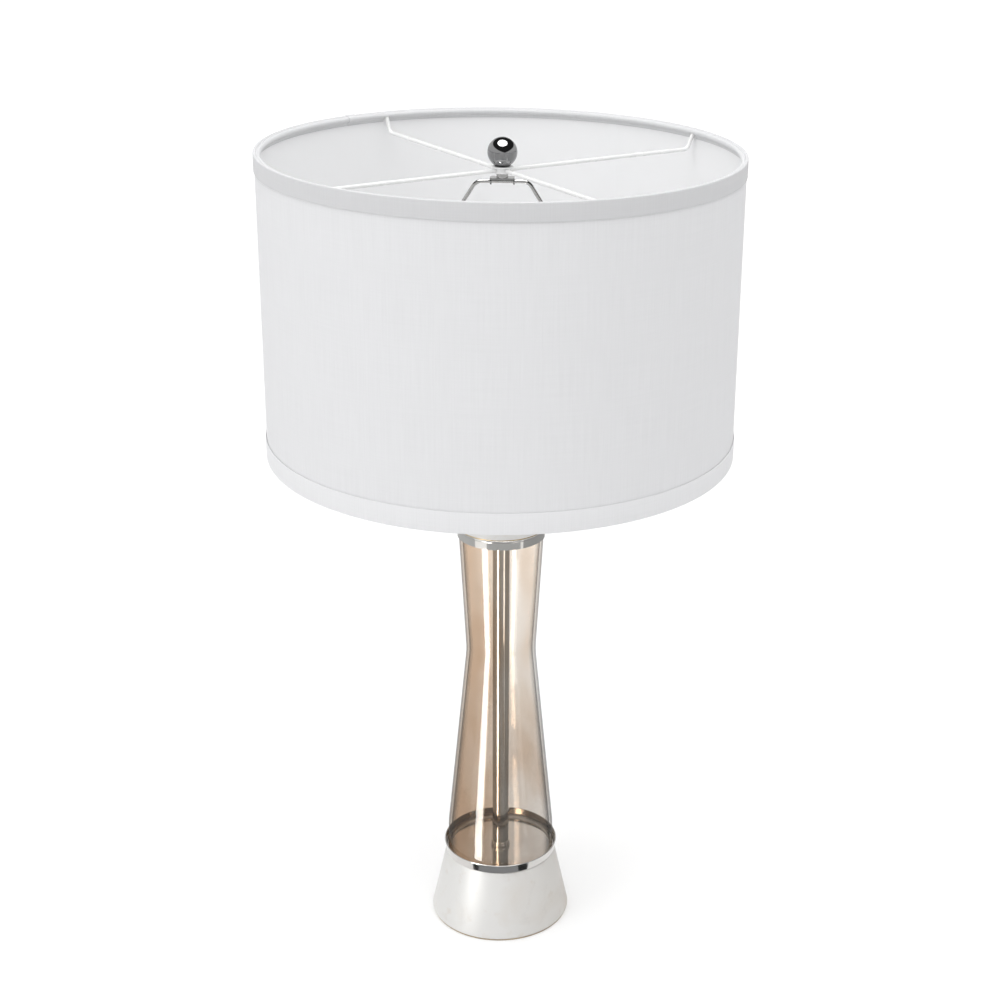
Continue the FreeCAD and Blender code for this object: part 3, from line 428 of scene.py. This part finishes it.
class Paint:
    """Makes each finish once and puts it on pieces by its name in the list."""

    def __init__(self) -> None:
        """Start with no finish made."""
        self.made: dict[str, bpy.types.Material] = {}

    def get(self, finish: str) -> bpy.types.Material:
        """The finish's material, made at its first use."""
        if finish not in self.made:
            self.made[finish] = FINISHES[finish].make()
        return self.made[finish]

    def dress(self, thing: Thing, finish: str) -> None:
        """Give a piece or a CAD node this finish all over."""
        thing.data.materials.clear()
        thing.data.materials.append(self.get(finish))


# ------------------------------------------------------------------ modelling


class Pick(Enum):
    """What is picked in edit mode."""

    VERTS = "VERT"
    EDGES = "EDGE"
    FACES = "FACE"


class Bench:
    """Takes a primitive through edit mode to a finished piece at the origin."""

    @staticmethod
    def clear() -> None:
        """Leave edit mode, with nothing selected."""
        if bpy.context.object is not None and bpy.context.object.mode != "OBJECT":
            bpy.ops.object.mode_set(mode="OBJECT")
        bpy.ops.object.select_all(action="DESELECT")

    @staticmethod
    def start(name: str) -> Thing:
        """Name the primitive just added, settle its place in its mesh, open edit mode."""
        thing = bpy.context.object
        thing.name = name
        thing.data.name = name
        bpy.ops.object.transform_apply(location=True, rotation=True, scale=True)
        bpy.ops.object.mode_set(mode="EDIT")
        return thing

    @staticmethod
    def pick(thing: Thing, kind: Pick, wanted: Callable) -> int:
        """Select what a test wants, and nothing else.

        Args:
            thing: the piece in edit mode.
            kind: verts, edges or faces.
            wanted: takes a BMesh vert, edge or face, and its middle.

        Returns:
            How many were selected.
        """
        bpy.ops.mesh.select_mode(type=kind.value)
        bpy.ops.mesh.select_all(action="DESELECT")
        mesh = bmesh.from_edit_mesh(thing.data)
        found = 0
        parts = {Pick.VERTS: mesh.verts, Pick.EDGES: mesh.edges, Pick.FACES: mesh.faces}[kind]
        for part in parts:
            if kind is Pick.VERTS:
                middle = part.co
            elif kind is Pick.EDGES:
                middle = (part.verts[0].co + part.verts[1].co) / 2
            else:
                middle = part.calc_center_median()
            if wanted(part, middle):
                part.select_set(True)
                found += 1
        mesh.select_flush_mode()
        bmesh.update_edit_mesh(thing.data)
        return found

    @staticmethod
    def extrude(step: tuple[float, float, float]) -> None:
        """Draw the selected edges out by a step."""
        bpy.ops.mesh.extrude_edges_move(TRANSFORM_OT_translate={"value": step})

    @staticmethod
    def modifier(thing: Thing, kind: str, **settings: object) -> None:
        """Add a modifier and apply it at once."""
        Bench.clear()
        thing.select_set(True)
        bpy.context.view_layer.objects.active = thing
        added = thing.modifiers.new(kind.title(), kind)
        for name, value in settings.items():
            setattr(added, name, value)
        bpy.ops.object.modifier_apply(modifier=added.name)

    @staticmethod
    def smooth(thing: Thing, angle: float = 40.0) -> None:
        """Shade smooth, but keep edges sharper than an angle in degrees."""
        Bench.clear()
        thing.select_set(True)
        bpy.context.view_layer.objects.active = thing
        bpy.ops.object.shade_smooth_by_angle(angle=math.radians(angle))

    @staticmethod
    def report(thing: Thing, body: str) -> None:
        """Put the piece on its body and log it."""
        Bench.clear()
        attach(thing, body)
        thing.data.calc_loop_triangles()
        log.info("%s: %d triangles, on %s", thing.name, len(thing.data.loop_triangles), body)


SAME_ANGLE = 1e-4
NEAR_SEAM = 1e-3
SAME_HEIGHT = 1e-5


def azimuth(point: Vector) -> float:
    """A point's angle about the lamp's axis, in radians."""
    return math.atan2(point.y, point.x)


def turned_from(point: Vector, start: float) -> float:
    """A point's angle about the axis counted from a start, from -pi to pi."""
    return (azimuth(point) - start + math.pi) % math.tau - math.pi


def upright(edge: bmesh.types.BMEdge) -> bool:
    """Whether an edge stays at one azimuth about the lamp's axis."""
    first, second = edge.verts
    return abs(turned_from(first.co, azimuth(second.co))) < SAME_ANGLE


# ------------------------------------------------------------------ shade


@dataclass
class Wrap:
    """A strip that is wrapped round the drum and lapped over its own start."""

    name: str
    slot: str
    seam: float
    lap: float
    thickness: float
    lift: float
    segments: int = 240
    lap_steps: int = 4
    first_step: float = 0.0012

    def open_seam(self, thing: Thing) -> None:
        """Split the strip at its seam and carry its end on over its start."""
        seam = math.radians(self.seam)
        Bench.pick(thing, Pick.EDGES, lambda edge, middle: upright(edge)
                   and abs(turned_from(middle, seam)) < NEAR_SEAM)
        bpy.ops.mesh.edge_split(type="EDGE")
        Bench.pick(thing, Pick.EDGES, lambda edge, middle: self.is_end(edge, middle, seam))
        step = self.first_step
        reach = self.radius_here(thing)
        Bench.extrude((-math.sin(seam) * step, math.cos(seam) * step, 0.0))
        bpy.ops.transform.shrink_fatten(value=self.lift)
        sweep = (self.lap - step) / reach
        bpy.ops.mesh.spin(steps=self.lap_steps, angle=sweep, center=(0, 0, 0), axis=(0, 0, -1))

    @staticmethod
    def is_end(edge: bmesh.types.BMEdge, middle: Vector, seam: float) -> bool:
        """Whether an edge is the free end of the strip that came round to the seam."""
        if not upright(edge) or abs(turned_from(middle, seam)) > NEAR_SEAM:
            return False
        faces = edge.link_faces
        return len(faces) == 1 and turned_from(faces[0].calc_center_median(), seam) < 0

    @staticmethod
    def radius_here(thing: Thing) -> float:
        """The strip's radius about the lamp's axis."""
        mesh = bmesh.from_edit_mesh(thing.data)
        return max(math.hypot(vert.co.x, vert.co.y) for vert in mesh.verts)

    def unroll(self, thing: Thing, height_of: Callable) -> None:
        """Give the strip a UV map in metres: along the wrap, and across it."""
        seam = math.radians(self.seam)
        mesh = thing.data
        while mesh.uv_layers:
            mesh.uv_layers.remove(mesh.uv_layers[0])
        layer = mesh.uv_layers.new(name="wrap")
        reach = max(math.hypot(vert.co.x, vert.co.y) for vert in mesh.vertices)
        for face in mesh.polygons:
            middle = (azimuth(face.center) - seam) % math.tau
            for loop in face.loop_indices:
                point = mesh.vertices[mesh.loops[loop].vertex_index].co
                along = middle + turned_from(point, seam + middle)
                layer.data[loop].uv = (along * reach, height_of(point))


@dataclass
class Shade:
    """Cloth drum on a stiff lining, with a cloth tape rolled over a wire at each edge."""

    paint: Paint
    radius: float = 0.1778
    cloth_radius: float = 0.17690
    lining_radius: float = 0.17653
    flap_radius: float = 0.17578
    wall: float = 0.0003
    wall_lap: float = 0.012
    cloth_lift: float = 0.00033
    lining_lift: float = -0.00036
    tape: float = 0.0004
    tape_lap: float = 0.009
    tape_segments: int = 300
    fold: float = 0.0009
    glue: float = 0.00005
    below_wire: float = 0.0032
    flap: float = 0.008
    notch_reach: float = 0.0003
    cloth_seam: float = 59.0
    lining_seam: float = 57.5
    top_tape_seam: float = 131.0
    bottom_tape_seam: float = 47.0
    arms: float = 32.0
    body: str = "shade"

    def build(self) -> None:
        """Build the drum and dress its wires."""
        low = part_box("shade_fabric")[0].z
        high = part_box("shade_fabric")[1].z
        cloth = Wrap("shade_cloth_wrap", "shade_cloth", self.cloth_seam, self.wall_lap,
                     self.wall, self.cloth_lift)
        lining = Wrap("shade_lining_wrap", "shade_liner", self.lining_seam, self.wall_lap,
                      self.wall, self.lining_lift)
        drum = self.drum(cloth, self.cloth_radius, low, high, "shade_fabric")
        sheet = self.drum(lining, self.lining_radius, low, high, "shade_liner")
        top = Wrap("top_trim_tape", "shade_cloth", self.top_tape_seam, self.tape_lap,
                   self.tape, self.tape, self.tape_segments)
        bottom = Wrap("bottom_trim_tape", "shade_cloth", self.bottom_tape_seam, self.tape_lap,
                      self.tape, self.tape, self.tape_segments)
        self.rolled(top, "top_trim", 1)
        self.rolled(bottom, "bottom_trim", -1)
        for node in ("top_wire_ring", "bottom_wire_ring"):
            self.paint.dress(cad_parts[node], "white_enamel")

    def drum(self, wrap: Wrap, radius: float, low: float, high: float, node: str) -> Thing:
        """Wrap one layer of the drum's wall, lapped at its seam.

        Args:
            wrap: the strip's name, seam and lap.
            radius: the layer's middle radius.
            low: the height of its lower edge.
            high: the height of its upper edge.
            node: the CAD node that it stands for.

        Returns:
            The finished layer.
        """
        Bench.clear()
        turn = math.radians(wrap.seam - 90.0)
        bpy.ops.mesh.primitive_cylinder_add(
            vertices=wrap.segments, radius=radius, depth=high - low, end_fill_type="NOTHING",
            location=(0, 0, (low + high) / 2), rotation=(0, 0, turn))
        thing = Bench.start(wrap.name)
        wrap.open_seam(thing)
        Bench.clear()
        wrap.unroll(thing, lambda point: point.z)
        Bench.modifier(thing, "SOLIDIFY", thickness=wrap.thickness, offset=0.0)
        Bench.smooth(thing)
        self.paint.dress(thing, wrap.slot)
        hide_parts(node)
        Bench.report(thing, self.body)
        return thing

    def tape_line(self, node: str, wire: str, side: int) -> list[tuple[float, float]]:
        """Where a tape runs: up the wall, over a narrow fold, round the wire, down the lining.

        Args:
            node: the CAD node of the tape.
            wire: the CAD node of the wire in it.
            side: 1 for the upper edge, -1 for the lower one.

        Returns:
            Points of the tape's middle, as radius and height.
        """
        low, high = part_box(node)
        below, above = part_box(wire)
        edge, seam = (high.z, low.z) if side > 0 else (low.z, high.z)
        thick = (above.z - below.z) / 2
        middle = above.x - thick
        level = (above.z + below.z) / 2
        outer = self.radius - self.tape / 2
        hug = thick + self.tape / 2 + self.glue
        line = [(outer, seam)]
        over_fold = range(0, 121, 24)
        round_wire = range(50, 216, 15)
        for degrees in over_fold:
            turn = math.radians(degrees)
            line.append((outer + self.fold * (math.cos(turn) - 1.0),
                         edge - side * (self.tape / 2 + self.fold * (1.0 - math.sin(turn)))))
        for degrees in round_wire:
            turn = math.radians(degrees)
            line.append((middle + hug * math.cos(turn), level + side * hug * math.sin(turn)))
        line.append((self.flap_radius, level - side * self.below_wire))
        line.append((self.flap_radius, edge - side * self.flap))
        return line

    def rolled(self, wrap: Wrap, node: str, side: int) -> None:
        """Fold a tape over one edge of the drum and roll it round the wire there.

        Args:
            wrap: the tape's name, seam and lap.
            node: the CAD node that it stands for.
            side: 1 for the upper edge, -1 for the lower one.
        """
        wire = node.replace("trim", "wire_ring")
        line = self.tape_line(node, wire, side)
        (outer, seam), (_, top) = line[:2]
        face_middle = math.radians(self.arms + 180.0 / wrap.segments - 90.0)
        Bench.clear()
        bpy.ops.mesh.primitive_cylinder_add(
            vertices=wrap.segments, radius=outer, depth=abs(top - seam),
            end_fill_type="NOTHING", location=(0, 0, (top + seam) / 2),
            rotation=(0, 0, face_middle))
        thing = Bench.start(wrap.name)
        steps = wrap.segments / 360.0
        wrap.seam = self.arms + (round((wrap.seam - self.arms) * steps) + 0.5) / steps
        Bench.pick(thing, Pick.EDGES,
                   lambda part, middle: not upright(part) and abs(middle.z - top) < SAME_HEIGHT)
        for here, following in zip(line[1:], line[2:]):
            self.draw(following[1] - here[1], following[0] / here[0])
        if side > 0:
            level = (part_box(wire)[0].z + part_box(wire)[1].z) / 2
            self.notch(thing, wrap, level)
        wrap.open_seam(thing)
        Bench.clear()
        across = self.lengths(line)
        wrap.unroll(thing, lambda point: self.tape_height(point, line, across))
        bpy.ops.object.select_all(action="DESELECT")
        Bench.modifier(thing, "SOLIDIFY", thickness=self.tape, offset=0.0)
        Bench.smooth(thing, 50.0)
        # The top tape gets the darker copy of the linen, which is painted shade.
        self.paint.dress(thing, "shaded_top_tape" if side > 0 else "bottom_tape")
        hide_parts(node)
        Bench.report(thing, self.body)

    @staticmethod
    def draw(rise: float, scale: float) -> None:
        """Draw the selected ring of edges on by a rise, then scale it about the axis."""
        Bench.extrude((0.0, 0.0, rise))
        bpy.ops.transform.resize(value=(scale, scale, 1.0), center_override=(0, 0, 0))

    def notch(self, thing: Thing, wrap: Wrap, level: float) -> None:
        """Cut the tape open under the wire where an arm of the spider comes up to it."""
        half = math.radians(180.0 / wrap.segments)
        Bench.pick(thing, Pick.FACES,
                   lambda part, middle: self.at_arm(middle, half) and middle.z < level
                   and math.hypot(middle.x, middle.y) < self.flap_radius + self.notch_reach)
        bpy.ops.mesh.delete(type="FACE")

    def at_arm(self, middle: Vector, half: float) -> bool:
        """Whether a point is at the azimuth of one of the four arms."""
        start = math.radians(self.arms)
        quarter = math.pi / 2
        return abs((azimuth(middle) - start + quarter / 2) % quarter - quarter / 2) < half

    @staticmethod
    def lengths(line: list[tuple[float, float]]) -> list[float]:
        """How far along a line of points each point lies."""
        far = [0.0]
        for here, following in zip(line, line[1:]):
            far.append(far[-1] + math.dist(here, following))
        return far

    @staticmethod
    def tape_height(point: Vector, line: list[tuple[float, float]],
                    across: list[float]) -> float:
        """How far across the tape a point lies, by the nearest point of its line."""
        spot = (math.hypot(point.x, point.y), point.z)
        nearest = min(range(len(line)), key=lambda index: math.dist(line[index], spot))
        return across[nearest]


# ------------------------------------------------------------------ carried-over parts


@dataclass
class Dressed:
    """A sub-assembly whose CAD nodes keep their shape and get their finishes."""

    paint: Paint
    nodes: dict[str, str]

    def build(self) -> None:
        """Give every node its finish."""
        for node, slot in self.nodes.items():
            self.paint.dress(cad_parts[node], slot)
            log.info("%s: CAD node in %s", node, slot)


FOOT = {
    "base_pad": "pad", "marble_base": "marble", "cord_bushing": "black_plastic",
    "base_washer": "zinc_steel", "base_lock_washer": "zinc_steel", "base_nut": "zinc_steel",
    "threaded_rod": "zinc_steel",
}
COLUMN = {
    "base_tray": "tray_nickel_painted_reflection", "lower_gasket": "clear_rubber", "glass_body": "lustre_glass",
    "upper_gasket": "clear_rubber", "centre_tube": "polished_nickel",
    "tube_collar": "collar_nickel_painted_highlight", "top_ring": "polished_nickel", "trim_washer": "brass",
    "marble_cap": "marble", "check_ring": "polished_nickel", "neck": "polished_nickel",
}
HARP = {
    "harp_saddle": "nickel_steel", "harp_wire": "nickel_steel", "harp_plate": "plate_nickel_painted_shade",
    "harp_stud": "nickel_steel", "ferrule_left": "nickel_steel", "ferrule_right": "nickel_steel",
}
SOCKET = {
    "socket_cap": "brushed_nickel", "socket_shell": "brushed_nickel",
    "socket_sleeve": "insulating_card", "socket_core": "black_plastic",
    "screw_shell": "screw_aluminium", "centre_contact": "brass",
    "switch_bushing": "black_plastic", "switch_stem": "zinc_steel",
    "switch_knob": "knob_plastic",
}
SPIDER = {
    "spider_hub": "white_enamel", "spider_arm_1": "white_enamel",
    "spider_arm_2": "white_enamel", "spider_arm_3": "white_enamel",
    "spider_arm_4": "white_enamel",
}
FINIAL = {"finial_neck": "neck_nickel_painted_shade", "finial_ball": "dark_nickel"}


# ------------------------------------------------------------------ studio


WARM = (1.0, 0.99, 0.97)
COOL = (0.96, 0.985, 1.0)
WHITE = (1.0, 1.0, 1.0)
SLATE = (0.97, 1.0, 1.03)


@dataclass(frozen=True)
class Board:
    """An upright board by the lamp, there only for what mirrors it.

    Its angle is in degrees to the right of the camera's side, its distance in metres from the
    lamp's axis, and its span is its lower and upper height.
    """

    name: str
    angle: float
    distance: float
    width: float
    span: tuple[float, float]
    level: float
    colour: Colour

    def build(self) -> None:
        """Stand the board up and make it glow."""
        turn = math.radians(self.angle)
        low, high = self.span
        Bench.clear()
        bpy.ops.mesh.primitive_plane_add(
            size=1.0, rotation=(math.pi / 2, 0.0, turn),
            location=(math.sin(turn) * self.distance, -math.cos(turn) * self.distance,
                      (low + high) / 2))
        thing = bpy.context.object
        thing.scale = (self.width, high - low, 1.0)
        mirrored_only(thing, self.name, self.level, self.colour)


@dataclass(frozen=True)
class Apron:
    """A flat card on the floor before the foot, there only for what mirrors it."""

    name: str
    left: float
    right: float
    level: float
    middle: float = -0.115
    depth: float = 0.11
    above_floor: float = 0.0005

    def build(self) -> None:
        """Lay the card down and make it glow."""
        Bench.clear()
        place = ((self.left + self.right) / 2, self.middle, self.above_floor)
        bpy.ops.mesh.primitive_plane_add(size=1.0, location=place)
        thing = bpy.context.object
        thing.scale = (self.right - self.left, self.depth, 1.0)
        mirrored_only(thing, self.name, self.level, SLATE)


def mirrored_only(thing: Thing, name: str, level: float, colour: Colour) -> None:
    """Make a board glow, for glossy surfaces alone.

    Args:
        thing: the board.
        name: its name.
        level: how bright it shows.
        colour: its colour.
    """
    thing.name = name
    tree = NodeTree(name)
    glow = tree.add("Emission", {"Color": colour, "Strength": level}).outputs[0]
    thing.data.materials.append(tree.finish(glow))
    thing.visible_camera = False
    thing.visible_diffuse = False
    thing.visible_transmission = False
    thing.visible_shadow = False


CARD_SPAN = (0.0, 0.38)
BOARDS = (
    Board("left_strip", -42.8, 0.15, 0.038, (0.001, 0.28), 15.0, WARM),
    Board("right_strip", 38.5, 0.112, 0.026, (0.195, 0.285), 3.0, WARM),
    Board("front_card", 6.0, 0.12, 0.20, CARD_SPAN, 0.55, COOL),
    Board("left_card", -104.0, 0.12, 0.20, CARD_SPAN, 0.62, COOL),
    Board("right_card", 98.0, 0.12, 0.24, CARD_SPAN, 0.42, COOL),
    Board("back_board", 180.0, 0.35, 0.7, (0.10, 0.55), 1.15, WHITE),
)
APRONS = (
    Apron("apron_far_left", -0.20, -0.074, 0.62),
    Apron("apron_left", -0.074, -0.060, 0.03),
    Apron("apron_middle", -0.060, 0.050, 0.30),
    Apron("apron_right", 0.050, 0.074, 0.03),
    Apron("apron_far_right", 0.074, 0.20, 0.55),
)


@dataclass
class Studio:
    """Pale floor, soft light and the camera."""

    eye: tuple = (0.0, -1.31905, 0.89298)
    yaw: float = 0.05815
    pitch: float = 0.377835
    roll: float = -0.024212
    lens: float = 65.587
    shift: float = -0.1
    ambient: float = 1.02
    mirrored: float = 1.15
    ceiling: float = 0.05
    ceiling_tip: float = 0.33
    ceiling_slope: float = 0.32
    ceiling_back: float = 0.09
    ceiling_edge: tuple[float, float] = (0.05, 0.09)
    floor_distance: tuple[float, float] = (0.5, 3.0)
    floor_glow: tuple[float, float] = (0.18, 0.45)
    light_target: tuple = (0.0, 0.0, 0.35)

    def build(self) -> None:
        """Set up camera, world, floor and lamps."""
        self.camera()
        self.world()
        self.floor()
        self.key()
        self.overhead()
        for board in (*BOARDS, *APRONS):
            board.build()
        bpy.context.scene.view_settings.view_transform = "Standard"

    def camera(self) -> None:
        """A camera at the photograph's place and angle, worked out from its ellipses."""
        lens = bpy.data.cameras.new("camera")
        lens.lens = self.lens
        lens.sensor_width = 36.0
        lens.shift_x = self.shift
        camera = bpy.data.objects.new("camera", lens)
        bpy.context.scene.collection.objects.link(camera)
        ahead = Vector((math.sin(self.yaw) * math.cos(self.pitch),
                        math.cos(self.yaw) * math.cos(self.pitch), -math.sin(self.pitch)))
        right = Vector((math.cos(self.yaw), -math.sin(self.yaw), 0.0))
        down = ahead.cross(right)
        level = right * math.cos(self.roll) + down * math.sin(self.roll)
        below = right * -math.sin(self.roll) + down * math.cos(self.roll)
        turn = Matrix((level, -below, -ahead)).transposed()
        camera.matrix_world = Matrix.Translation(self.eye) @ turn.to_4x4()
        bpy.context.scene.camera = camera

    def world(self) -> None:
        """Pale grey all round, but with a dark ceiling over a V-shaped edge in what mirrors it."""
        world = bpy.data.worlds.new("studio")
        bpy.context.scene.world = world
        world.use_nodes = True
        tree = NodeTree.of_world(world)
        path = tree.add("LightPath")
        seen = tree.math("MAXIMUM", path.outputs["Is Camera Ray"],
                         path.outputs["Is Transmission Ray"])
        way = tree.add("SeparateXYZ", {0: tree.add("TexCoord").outputs["Generated"]})
        aside = tree.math("ABSOLUTE", tree.math("SUBTRACT", way.outputs["X"], self.ceiling_tip))
        behind = tree.math("ADD", way.outputs["Y"], 1.0)
        edge = tree.math("ADD", tree.math("MULTIPLY", aside, self.ceiling_slope),
                         tree.math("MULTIPLY", behind, self.ceiling_back))
        rise = tree.math("SUBTRACT", way.outputs["Z"], edge)
        mirrored = tree.spread(rise, *self.ceiling_edge, self.mirrored, self.ceiling)
        strength = tree.blend(path.outputs["Is Glossy Ray"], self.ambient, mirrored)
        strength = tree.blend(seen, strength, 1.0)
        tree.finish(tree.add("Background", {"Strength": strength}).outputs[0])

    def floor(self) -> None:
        """A wide pale floor that keeps the lamp's soft shadow."""
        Bench.clear()
        bpy.ops.mesh.primitive_plane_add(size=30.0, location=(0, 0, 0))
        thing = Bench.start("studio_floor")
        Bench.clear()
        tree = NodeTree("pale_floor")
        cloud = tree.noise(3.0, 2.0)
        far = tree.add("VectorMath", {0: tree.place()}, operation="LENGTH").outputs["Value"]
        paint = tree.principled({
            "Base Color": (0.80, 0.80, 0.80), "Specular IOR Level": 0.0,
            "Roughness": tree.spread(cloud, 0.3, 0.7, 0.85, 0.95),
        })
        path = tree.add("LightPath")
        seen = tree.math("MAXIMUM", path.outputs["Is Camera Ray"],
                         path.outputs["Is Glossy Ray"])
        seen = tree.math("MAXIMUM", seen, path.outputs["Is Transmission Ray"])
        level = tree.spread(far, *self.floor_distance, *self.floor_glow)
        glow = tree.add("Emission", {"Strength": tree.math("MULTIPLY", seen, level)}).outputs[0]
        thing.data.materials.append(tree.finish(
            tree.add("AddShader", {0: paint, 1: glow}).outputs[0]))

    def light(self, name: str, place: tuple, size: float, power: float, shape: str) -> None:
        """A soft light that points at the lamp's middle.

        Args:
            name: the light's name.
            place: where it stands.
            size: its width in metres.
            power: its power in watts.
            shape: SQUARE or DISK.
        """
        data = bpy.data.lights.new(name, "AREA")
        data.shape = shape
        data.size = size
        data.energy = power
        thing = bpy.data.objects.new(name, data)
        bpy.context.scene.collection.objects.link(thing)
        aim = Vector(self.light_target) - Vector(place)
        turn = aim.to_track_quat("-Z", "Y").to_matrix().to_4x4()
        thing.matrix_world = Matrix.Translation(place) @ turn
        thing.visible_camera = False
        thing.visible_transmission = False
        thing.visible_glossy = False

    def key(self) -> None:
        """The main light, from the front left."""
        self.light("key_light", place=(-2.2, -1.5, 1.9), size=1.4, power=12.5, shape="SQUARE")

    def overhead(self) -> None:
        """The wide round light above, and the round board that the ball shows as a spot."""
        self.light("overhead_light", place=(0.05, -0.25, 2.3), size=2.3, power=22.0, shape="DISK")
        Bench.clear()
        bpy.ops.mesh.primitive_circle_add(vertices=48, radius=0.95, fill_type="NGON",
                                          location=(0.02, -0.26, 2.28))
        mirrored_only(bpy.context.object, "overhead_board", 7.0, WHITE)


def main() -> None:
    """Build every sub-assembly in turn, then the studio."""
    logging.basicConfig(level=logging.INFO, format="%(message)s")
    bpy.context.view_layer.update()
    paint = Paint()
    for nodes in (FOOT, COLUMN, HARP, SOCKET, SPIDER, FINIAL):
        Dressed(paint, nodes).build()
    Shade(paint).build()
    Studio().build()


if __name__ == "__main__":
    main()
